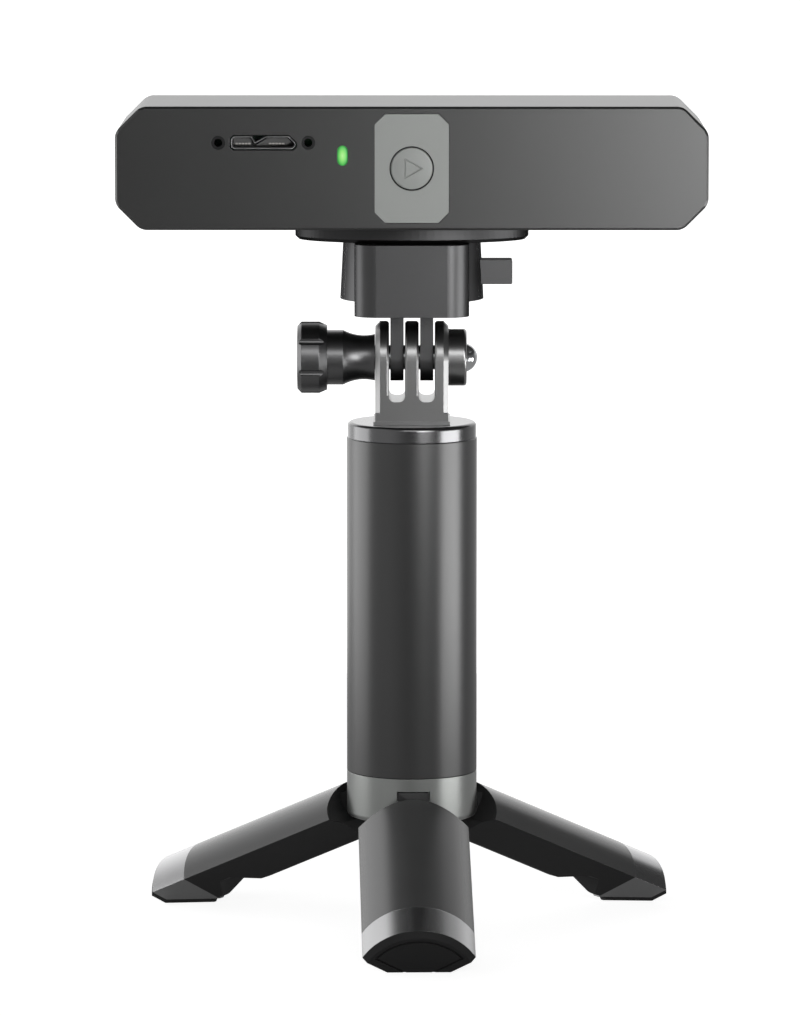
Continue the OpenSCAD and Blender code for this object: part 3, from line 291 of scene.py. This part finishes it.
def coat(net, colour, rough, metal=0.0, drift=0.05, bump=0.0, rough_drift=0.015, **fixed):
    """A shader with a fine grain. Drift is how far its colour wanders; fixed holds any other sockets."""
    place = net.node("ShaderNodeTexCoord", out=3)
    broad = {"Vector": place, "Scale": CLOUD_SCALE, "Detail": CLOUD_DETAIL}
    cloud = net.node("ShaderNodeTexNoise", None, broad)
    fine = {"Vector": place, "Scale": GRAIN_SCALE, "Detail": GRAIN_DETAIL}
    grain = net.node("ShaderNodeTexNoise", None, fine)
    shade = CLOUD_SHARE * cloud + (1 - CLOUD_SHARE) * grain
    low = tuple(c * (1 - drift) for c in colour) + (1,)
    high = tuple(c * (1 + drift) for c in colour) + (1,)
    normal = net.node("ShaderNodeBevel", {"samples": BEVEL_SAMPLES}, {"Radius": SOFT_EDGE})
    if bump:
        grit = {"Strength": bump, "Distance": GRIT_DEPTH, "Height": grain, "Normal": normal}
        normal = net.node("ShaderNodeBump", None, grit)
    sockets = {
        "Base Color": shade.between(NOISE_LOW, NOISE_HIGH).mix(low, high),
        "Roughness": (shade - NOISE_MIDDLE) * (2 * rough_drift) + rough,
        "Metallic": metal,
        "Normal": normal,
    }
    for words, value in fixed.items():
        sockets[words.replace("_", " ")] = value
    return net.node("ShaderNodeBsdfPrincipled", None, sockets)


# %% Finishing and dressing
def finish(name, *numbers, **named):
    """A material with one coat all over."""
    made, net = blank(name)
    net.node("ShaderNodeOutputMaterial", None, {"Surface": coat(net, *numbers, **named)})
    return made


def dress(made, *names):
    """Give a finish to the solids with these names."""
    for name in names:
        slots = nodes[name].data.materials
        slots.clear()
        slots.append(made)


# %% Metals, plastics and rubber
DARK_RIM = (0.15, 0.15, 0.15, 1)
# A darker edge tint for the plate, part of its painted shade.
PLATE_SHADE_RIM = (0.1, 0.1, 0.1, 1)

head_metal = finish("head_metal", (0.0145, 0.0148, 0.0145), 0.34, bump=0.05, Specular_IOR_Level=1.0)
mount_metal = finish("mount_metal", (0.1, 0.1, 0.1015), 0.4, metal=1.0, bump=0.05, Specular_Tint=DARK_RIM)
# The plate is the mount's metal made darker, with a darker edge tint: painted shade for the shadow under the
# head.
shaded_plate_metal = finish("shaded_plate_metal", (0.06, 0.06, 0.061), 0.42, metal=1.0, bump=0.05, Specular_Tint=PLATE_SHADE_RIM)
grip_metal = finish("grip_metal", (0.0165, 0.0165, 0.0168), 0.32, bump=0.05, Specular_IOR_Level=1.0)
cap_metal = finish("cap_metal", (0.16, 0.16, 0.163), 0.22, metal=1.0)
clevis_metal = finish("clevis_metal", (0.29, 0.29, 0.29), 0.3, metal=1.0)
knob_metal = finish("knob_metal", (0.15, 0.15, 0.152), 0.33, metal=1.0)
hub_metal = finish("hub_metal", (0.37, 0.381, 0.37), 0.3, metal=1.0)
bench_metal = finish("bench_metal", (0.48, 0.48, 0.485), 0.4, metal=1.0)
steel = finish("steel", (0.42, 0.43, 0.44), 0.3, metal=1.0)
chrome = finish("chrome", (0.62, 0.63, 0.64), 0.1, metal=1.0, rough_drift=0.01)
black_steel = finish("black_steel", (0.010, 0.010, 0.0105), 0.4, Specular_IOR_Level=0.3)
brass = finish("brass", (0.5, 0.32, 0.1), 0.35, metal=1.0)
pale_plastic = finish("pale_plastic", (0.300, 0.312, 0.300), 0.45, drift=0.02, bump=0.04)
black_gloss = finish("black_gloss", (0.010, 0.010, 0.011), 0.2, Specular_IOR_Level=0.9)
black_plastic = finish("black_plastic", (0.012, 0.012, 0.0125), 0.45, Specular_IOR_Level=0.35)
rubber = finish("rubber", (0.024, 0.024, 0.0245), 0.6, bump=0.2, Specular_IOR_Level=0.2)
lens_glass = finish("lens_glass", (0.02, 0.015, 0.04), 0.04, rough_drift=0.01)
lamp_plastic = finish("lamp_plastic", (0.75, 0.72, 0.6), 0.15)
board_green = finish("board_green", (0.02, 0.1, 0.045), 0.4)
print("materials:", len(bpy.data.materials))

# %% Dress the solids
dress(head_metal, "housing")
dress(mount_metal, "quick_release_body", "release_latch")
dress(shaded_plate_metal, "quick_release_plate")
dress(cap_metal, "handle_cap")
dress(grip_metal, "handle_tube")
dress(clevis_metal, "clevis")
dress(knob_metal, "thumb_knob")
dress(hub_metal, "leg_hub")
dress(bench_metal, "optical_bench")
dress(steel, "scan_switch", "board_screws", "plate_screw", "pivot_bolt")
dress(steel, "clevis_screw", "leg_pins", "hub_screw")
dress(chrome, "pivot_nut")
dress(black_steel, "lock_inserts")
dress(brass, "thread_insert")
dress(pale_plastic, "button_panel")
dress(black_gloss, "front_cover")
dress(black_plastic, "left_camera", "right_camera", "colour_camera", "projector")
dress(black_plastic, "switch_plunger", "hub_clamp")
dress(rubber, "front_foot_pad", "left_foot_pad", "right_foot_pad")
dress(lens_glass, "left_lens", "right_lens", "colour_lens", "projector_lens")
dress(lamp_plastic, "flood_lights")
dress(board_green, "main_board")
print("the housing's finish:", nodes["housing"].data.materials[0].name)

# %% [markdown]
# ## The legs' two finishes
# A leg is a third of a round bar. Its shell and its foot are anodised on their round outside, and their
# cut edges are dull, like the black core between them. Separate pieces could carry the two finishes. Here
# the way that a face looks decides: what faces away from the leg's round side, or back towards the hub,
# is an edge.

# %% Directions of a leg
LEG_AZIMUTHS = {"front_leg": -88.4, "left_leg": 151.6, "right_leg": 31.6}
SPREAD = math.radians(66)


def leg_axes(azimuth):
    """Directions of a leg at rest: outwards on the floor, from its middle to its round side, and along it."""
    a = math.radians(azimuth)
    out = Vector((math.cos(a), math.sin(a), 0))
    up = Vector((0, 0, 1))
    crown = out * math.cos(SPREAD) + up * math.sin(SPREAD)
    along = out * math.sin(SPREAD) - up * math.cos(SPREAD)
    return out, crown, along


# %% A finish with dull edges
EDGE_FROM, EDGE_TO = 0.6, 0.75


def edged(name, azimuth, outside, edges):
    """A finish for a leg's piece, with another one on its cut edges."""
    made, net = blank(name)
    looks = net.node("ShaderNodeTexCoord", out=1)
    _, crown, along = leg_axes(azimuth)
    away = net.node("ShaderNodeVectorMath", {"operation": "DOT_PRODUCT"}, {0: looks, 1: -crown}, out=1)
    inward = net.node("ShaderNodeVectorMath", {"operation": "DOT_PRODUCT"}, {0: looks, 1: -along}, out=1)
    cut = net.sum("MAXIMUM", away, inward).between(EDGE_FROM, EDGE_TO)
    both = net.node("ShaderNodeMixShader", None, {0: cut, 1: coat(net, **outside), 2: coat(net, **edges)})
    net.node("ShaderNodeOutputMaterial", None, {"Surface": both})
    return made


# %% Legs and feet
LEG_OUTSIDE = dict(colour=(0.075, 0.075, 0.0755), rough=0.26, bump=0.05, Specular_IOR_Level=1.0)
LEG_EDGE = dict(colour=(0.034, 0.034, 0.0345), rough=0.6, bump=0.1, Specular_IOR_Level=0.15)
FOOT_OUTSIDE = dict(colour=(0.48, 0.48, 0.485), rough=0.24, metal=1.0)
FOOT_EDGE = dict(colour=(0.26, 0.26, 0.262), rough=0.4, metal=1.0)

leg_plastic = finish("leg_plastic", **LEG_EDGE)
for body, azimuth in LEG_AZIMUTHS.items():
    foot = body.replace("leg", "foot")
    dress(leg_plastic, body + "_core")
    dress(edged(body + "_metal", azimuth, LEG_OUTSIDE, LEG_EDGE), body + "_shell")
    dress(edged(foot + "_metal", azimuth, FOOT_OUTSIDE, FOOT_EDGE), foot + "_cap")
print("legs dressed:", len(LEG_AZIMUTHS))

# %% [markdown]
# ## Fine pieces
# Some pieces carry detail that is too fine for the solids: the sign cut into the button, the glowing
# lamp, the socket's formed metal and its contacts. Each could be cut with booleans, but thin walls come
# out ragged that way. Here each is a skin over a row of closed outlines, like the planking of a hull, and
# rides on the same body as the solid that it stands for. Sizes are in millimetres until a point is
# placed.

# %% Skins over outlines
MM = 0.001
CORNER_SHARE = 0.45


def angles(count):
    """Angles evenly round a circle."""
    return [math.tau * i / count for i in range(count)]


def loft(outlines, caps=True):
    """A skin over closed outlines of equally many points. Without caps the last outline joins the first."""
    count = len(outlines[0])
    points = [p for outline in outlines for p in outline]
    faces = []
    for row in range(len(outlines) - 1 if caps else len(outlines)):
        after = (row + 1) % len(outlines)
        for i in range(count):
            j = (i + 1) % count
            faces.append((row * count + i, row * count + j, after * count + j, after * count + i))
    if caps:
        faces.append(tuple(range(count)))
        faces.append(tuple(range(len(points) - count, len(points))))
    return points, faces


def soften(corners, radius, steps=4):
    """A polygon's outline with rounded corners, always with steps + 1 points for each."""
    outline = []
    for i, corner in enumerate(corners):
        here = Vector(corner)
        sides = [Vector(corners[i - 1]) - here, Vector(corners[(i + 1) % len(corners)]) - here]
        a, b = (here + side.normalized() * min(radius, CORNER_SHARE * side.length) for side in sides)
        for k in range(steps + 1):
            t = k / steps
            outline.append(a * (1 - t) ** 2 + here * (2 * t * (1 - t)) + b * t ** 2)
    return outline


# %% From skins to a piece
WELD = 1e-7
SHARP = math.radians(35)


def piece(name, skins, made, body, slot, *solids):
    """A new mesh of one or more skins that rides on a body, has a material slot and may stand for solids. The
    slot argument is not used.
    """
    points, faces = [], []
    for skin_points, skin_faces in skins:
        faces += [tuple(i + len(points) for i in face) for face in skin_faces]
        points += skin_points
    mesh = bpy.data.meshes.new(name)
    mesh.from_pydata(points, [], faces)
    work = bmesh.new()
    work.from_mesh(mesh)
    bmesh.ops.remove_doubles(work, verts=work.verts, dist=WELD)
    bmesh.ops.recalc_face_normals(work, faces=work.faces)
    work.to_mesh(mesh)
    work.free()
    mesh.shade_smooth()
    mesh.set_sharp_from_angle(angle=SHARP)
    mesh.materials.append(made)
    thing = bpy.data.objects.new(name, mesh)
    bpy.context.scene.collection.objects.link(thing)
    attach(thing, body)
    if solids:
        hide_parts(*solids)
    print(name, "has", len(mesh.polygons), "faces")
    return thing


# %% [markdown]
# ## The scan button
# The button is moulded with a rounded edge, and a triangle is engraved in its face as an outline. The
# groove could be drawn with bump alone, but up close it would have no depth. So the button's outlines
# run from the end of the stem over the hidden rim and the edge to the triangle, down into the groove and
# up again, with depths counted from the button's face. The dark line round it is painted shade: a thin
# dark ring set into the gap, where the gap's shadow falls.

# %% Outlines on the button
SIGN = [(1.98, 0.0), (-1.34, 1.86), (-1.34, -1.86)]
SIGN_MIDDLE = Vector((-0.25, 0.0))
SIGN_INSIDE_R = 1.09
SIDE_STEPS = 32

low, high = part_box("scan_button")
button_middle = (low + high) / 2
button_front = low.y
rim_r = (high.x - low.x) / 2 / MM
stem_end = (high.y - low.y) / MM
print("button in mm: rim radius", round(rim_r, 2), "and length", round(stem_end, 2))


def on_button(u, w, depth):
    return button_middle.x + u * MM, button_front + depth * MM, button_middle.z + w * MM


def ring(radius, depth):
    """A circle on the button, with as many points as the triangle's outline."""
    turns = angles(len(SIGN) * SIDE_STEPS)
    return [on_button(radius * math.cos(a), radius * math.sin(a), depth) for a in turns]


def sign(grow, depth):
    """The triangle, grown outwards by a distance."""
    scale = 1 + grow / SIGN_INSIDE_R
    corners = [SIGN_MIDDLE + (Vector(c) - SIGN_MIDDLE) * scale for c in SIGN]
    outline = []
    for a, b in zip(corners, corners[1:] + corners[:1]):
        outline += [on_button(*a.lerp(b, i / SIDE_STEPS), depth) for i in range(SIDE_STEPS)]
    return outline


# %% Scan button
STROKE = 0.26
GROOVE = 0.2
GROOVE_SLOPE = 0.05
BUTTON_R = 4.22
ROUND = 0.2
ROUND_MIDDLE = 0.06
RIM_FRONT = 1.35
RIM_BACK = 1.85
STEM_R = 1.5
STEM_PLAY = 0.05

button_outlines = [
    ring(STEM_R, stem_end - STEM_PLAY),
    ring(STEM_R, RIM_BACK),
    ring(rim_r, RIM_BACK),
    ring(rim_r, RIM_FRONT),
    ring(BUTTON_R, RIM_FRONT),
    ring(BUTTON_R, ROUND),
    ring(BUTTON_R - ROUND_MIDDLE, ROUND_MIDDLE),
    ring(BUTTON_R - ROUND, 0),
    sign(STROKE / 2, 0),
    sign(STROKE / 2 - GROOVE_SLOPE, GROOVE),
    sign(GROOVE_SLOPE - STROKE / 2, GROOVE),
    sign(-STROKE / 2, 0),
]
piece("scan_button_face", [loft(button_outlines)], pale_plastic, "scan_button", "pale_plastic", "scan_button")

# %% Dark ring as painted shade in the button's gap
SHADE_RING_IN = BUTTON_R + 0.05
SHADE_RING_OUT = BUTTON_R + 0.29
SHADE_RING_BACK = 0.9
SHADE_RING_FRONT_IN = 0.12
SHADE_RING_FRONT_OUT = 0.08

# A thin dark ring in the gap round the button: painted shade for the shadow in that gap, not a seal.
gap_shade_ring = [ring(SHADE_RING_IN, SHADE_RING_BACK), ring(SHADE_RING_IN, SHADE_RING_FRONT_IN)]
gap_shade_ring += [ring(SHADE_RING_OUT, SHADE_RING_FRONT_OUT), ring(SHADE_RING_OUT, SHADE_RING_BACK)]
piece("button_gap_shade", [loft(gap_shade_ring, caps=False)], rubber, "head", "rubber")

# %% [markdown]
# ## The status lamp
# A clear light pipe ends in a domed capsule that glows brightest along its middle. Its glow could come
# from a real lamp behind clear plastic, but that is noisy at this size. Instead the distance from the
# middle, counted less along the capsule than across it, picks the colour of the light that the surface
# gives.

# %% The lamp's glow
FALL = 0.23
GREENS = [
    (0.0, (0.50, 0.88, 0.33, 1)),
    (0.45, (0.27, 0.76, 0.18, 1)),
    (0.75, (0.11, 0.53, 0.11, 1)),
    (1.0, (0.02, 0.22, 0.035, 1)),
]

low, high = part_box("status_light")
lamp_middle = (low + high) / 2
lamp_front = low.y
lamp_end = (high.y - low.y) / MM
lamp_r = (high.x - low.x) / 2
lamp_line = (high.z - low.z) / 2 - lamp_r
print("lamp's radius in mm:", round(lamp_r / MM, 2))

glowing, net = blank("glowing_green")
across = net.node("ShaderNodeSeparateXYZ", None, {0: net.node("ShaderNodeTexCoord", out=3)})
aside = (across - lamp_middle.x) * (1 / lamp_r)
height = (across.other(2) - lamp_middle.z) * (1 / lamp_r)
distance = net.sum("SQRT", aside * aside + FALL * height * height)
pipe = {
    "Base Color": (0.01, 0.05, 0.015, 1),
    "Roughness": 0.3,
    "Specular IOR Level": 0.2,
    "Emission Color": net.node("ShaderNodeValToRGB", {"stops": GREENS}, {0: distance}),
    "Emission Strength": 0.95,
}
net.node("ShaderNodeOutputMaterial", None, {"Surface": net.node("ShaderNodeBsdfPrincipled", None, pipe)})

# %% The lamp's dome
DOME = 0.3
DOME_DEGREES = (20, 40, 60, 75, 89)
LAMP_STEPS = 20


def capsule(radius, depth):
    """Two half circles, one at each end of the lamp's middle line."""
    outline = []
    for i in range(2 * LAMP_STEPS + 2):
        top = i <= LAMP_STEPS
        a = math.pi * (i if top else i - 1) / LAMP_STEPS
        z = lamp_middle.z + (lamp_line if top else -lamp_line) + radius * math.sin(a)
        outline.append((lamp_middle.x + radius * math.cos(a), lamp_front + depth * MM, z))
    return outline


lamp_outlines = [capsule(lamp_r, lamp_end), capsule(lamp_r, DOME / 2)]
for degrees in DOME_DEGREES:
    a = math.radians(degrees)
    lamp_outlines.append(capsule(lamp_r * math.cos(a), DOME / 2 - DOME * math.sin(a)))
piece("status_light_dome", [loft(lamp_outlines)], glowing, "head", "light_pipe", "status_light")

# %% [markdown]
# ## The socket
# The socket is a strip of thin sheet bent into a shell, with a lead-in at its mouth and a pointed dent
# that stops a plug from going in upside down. A Solidify modifier could thicken one outline. Here the
# skin runs down the sheet's outside and back along its inside, so that the mouth gets its own rounding
# and lead-in. Inside it two plates of dark plastic stand on a back wall, and each carries five contacts.

# %% The socket's outline
SHELL_W = 13.6
SHELL_H = 3.1
LEFT_CUT = 0.7
LOW_CUT = 0.75
HIGH_CUT = 1.5
DENT_X = -1.7
DENT_DEPTH = 1.3
DENT_LEFT = 0.7
DENT_RIGHT = 2.3
BEND_R = 0.3

low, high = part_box("usb_shell")
socket_middle = (low + high) / 2
shell_end = (high.y - low.y) / MM
mouth_y = low.y
print("socket's depth in mm:", round(shell_end, 2))


def in_socket(outline, depth):
    return [(socket_middle.x + u * MM, mouth_y + depth * MM, socket_middle.z + w * MM) for u, w in outline]


def mouth(inset, depth):
    """The socket's outline, drawn in by a distance."""
    x = SHELL_W / 2 - inset
    z = SHELL_H / 2 - inset
    # A slanting cut keeps its distance from the outer one when its ends shift by k.
    k = inset * (2 - math.sqrt(2))
    corners = [(-x + LEFT_CUT - k, -z), (x - LOW_CUT + k, -z), (x, -z + LOW_CUT - k)]
    corners += [(x, z - HIGH_CUT + k), (x - HIGH_CUT + k, z)]
    corners += [(DENT_X + DENT_RIGHT, z), (DENT_X, z - DENT_DEPTH), (DENT_X - DENT_LEFT, z)]
    corners += [(-x + LEFT_CUT - k, z), (-x, z - LEFT_CUT + k), (-x, -z + LEFT_CUT - k)]
    return in_socket(soften(corners, BEND_R), depth)


# %% Socket shell
SHEET_OUTSIDE = 0.28
SHEET_INSIDE = 0.5
MOUTH_OUTSIDE = 0.31
MOUTH_INSIDE = 0.39
MOUTH_ROUND = 0.04
LEAD_IN = 0.4

shell_skin = [
    mouth(MOUTH_OUTSIDE, 0.0),
    mouth(SHEET_OUTSIDE, MOUTH_ROUND),
    mouth(SHEET_OUTSIDE, shell_end),
    mouth(SHEET_INSIDE, shell_end),
    mouth(SHEET_INSIDE, LEAD_IN),
    mouth(MOUTH_INSIDE, 0.0),
]
shell_steel = finish("shell_steel", (0.42, 0.42, 0.424), 0.4, metal=0.6)
piece("usb_shell_sheet", [loft(shell_skin, caps=False)], shell_steel, "head", "steel", "usb_shell")

# %% Socket plates
LEFT_PLATE = [(-6.1, -0.4), (-2.2, -0.4), (-2.6, 0.95), (-6.0, 0.95)]
RIGHT_PLATE = [(-1.6, -0.6), (4.9, -0.4), (5.6, 0.1), (4.8, 0.95), (0.9, 0.95)]
PLATE_CORNER_R = 0.15
PLATE_FRONT = 1.0
WALL_INSET = 0.52
WALL_FRONT = shell_end - 2
PLATE_BACK = shell_end - 1.9

plates = [loft([mouth(WALL_INSET, WALL_FRONT), mouth(WALL_INSET, shell_end)])]
for corners in (LEFT_PLATE, RIGHT_PLATE):
    outline = soften(corners, PLATE_CORNER_R)
    plates.append(loft([in_socket(outline, PLATE_BACK), in_socket(outline, PLATE_FRONT)]))
socket_plastic = finish("socket_plastic", (0.066, 0.067, 0.066), 0.5)
piece("usb_tongue_plates", plates, socket_plastic, "head", "black_plastic", "usb_tongues")

# %% Socket contacts
CONTACT_ROWS = [(-5.65, 0.64), (1.1, 0.66)]
CONTACTS = 5
CONTACT_GAP = 0.1
CONTACT_LOW = -0.4
CONTACT_HIGH = -0.08
CONTACT_CORNER_R = 0.06
CONTACT_FRONT = 0.9
CONTACT_BACK = 2.5

pins = []
for start, pitch in CONTACT_ROWS:
    for i in range(CONTACTS):
        a = start + pitch * i
        b = a + (pitch - CONTACT_GAP)
        corners = [(a, CONTACT_LOW), (b, CONTACT_LOW), (b, CONTACT_HIGH), (a, CONTACT_HIGH)]
        pin = soften(corners, CONTACT_CORNER_R)
        pins.append(loft([in_socket(pin, CONTACT_BACK), in_socket(pin, CONTACT_FRONT)]))
contact_metal = finish("contact_metal", (0.42, 0.41, 0.39), 0.5, metal=0.5)
piece("usb_contacts", pins, contact_metal, "head", "chrome")

# %% [markdown]
# ## The latch's spring
# Inside the mount a coil of steel wire pushes the release latch back out. It could be a screw modifier on
# a circle. Here rings of points follow a helix, because the same skin then closes both ends of the wire.

# %% Latch spring
WIRE_R = 0.2
TURNS = 3.5
TURN_STEPS = 28
WIRE_STEPS = 10

low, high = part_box("latch_spring")
coil_middle = (low + high) / 2
coil_long = (high.x - low.x) / MM
coil_r = (high.z - low.z) / 2 / MM - WIRE_R
coil_steps = int(TURNS * TURN_STEPS)
rings = []
for i in range(coil_steps + 1):
    a = math.tau * i / TURN_STEPS
    outward = Vector((0, math.cos(a), math.sin(a)))
    x = WIRE_R - coil_long / 2 + (coil_long - 2 * WIRE_R) * i / coil_steps
    spot = outward * coil_r + Vector((x, 0, 0))
    wire = [outward * math.cos(b) + Vector((math.sin(b), 0, 0)) for b in angles(WIRE_STEPS)]
    rings.append([coil_middle + MM * (spot + WIRE_R * w) for w in wire])
coil = piece("latch_coil", [loft(rings)], steel, "head", "steel", "latch_spring")
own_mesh(coil)

# %% [markdown]
# ## The legs' tongues
# Where a leg is swung out, its hinge lug fills the notch in the hub, and its face there carries on the
# leg's own finish. A whole lug could be made new. A thin facing on each one is enough to show that.

# %% Tongues
PIN_Z = 26.58
LUG_FACE = 13.25
TONGUE_W = 6.4
TONGUE_LOW = -2.4
TONGUE_HIGH = 2.65
TONGUE_CORNER_R = 0.25
TONGUE_STEPS = [(-0.1, 0), (0.04, 0), (0.08, 0.06)]

tongue_metal = finish("tongue_metal", (0.035, 0.035, 0.0355), 0.5, Specular_IOR_Level=0.3)
for body, azimuth in LEG_AZIMUTHS.items():
    out = leg_axes(azimuth)[0]
    side = Vector((-out.y, out.x, 0))
    skin = []
    for reach, inset in TONGUE_STEPS:
        half = TONGUE_W / 2 - inset
        top = TONGUE_HIGH - inset
        corners = [(-half, TONGUE_LOW), (half, TONGUE_LOW), (half, top), (-half, top)]
        face = out * (LUG_FACE + reach)
        outline = soften(corners, TONGUE_CORNER_R)
        skin.append([MM * (face + side * u + Vector((0, 0, PIN_Z + w))) for u, w in outline])
    piece(body + "_tongue", [loft(skin)], tongue_metal, body, "grip_metal")
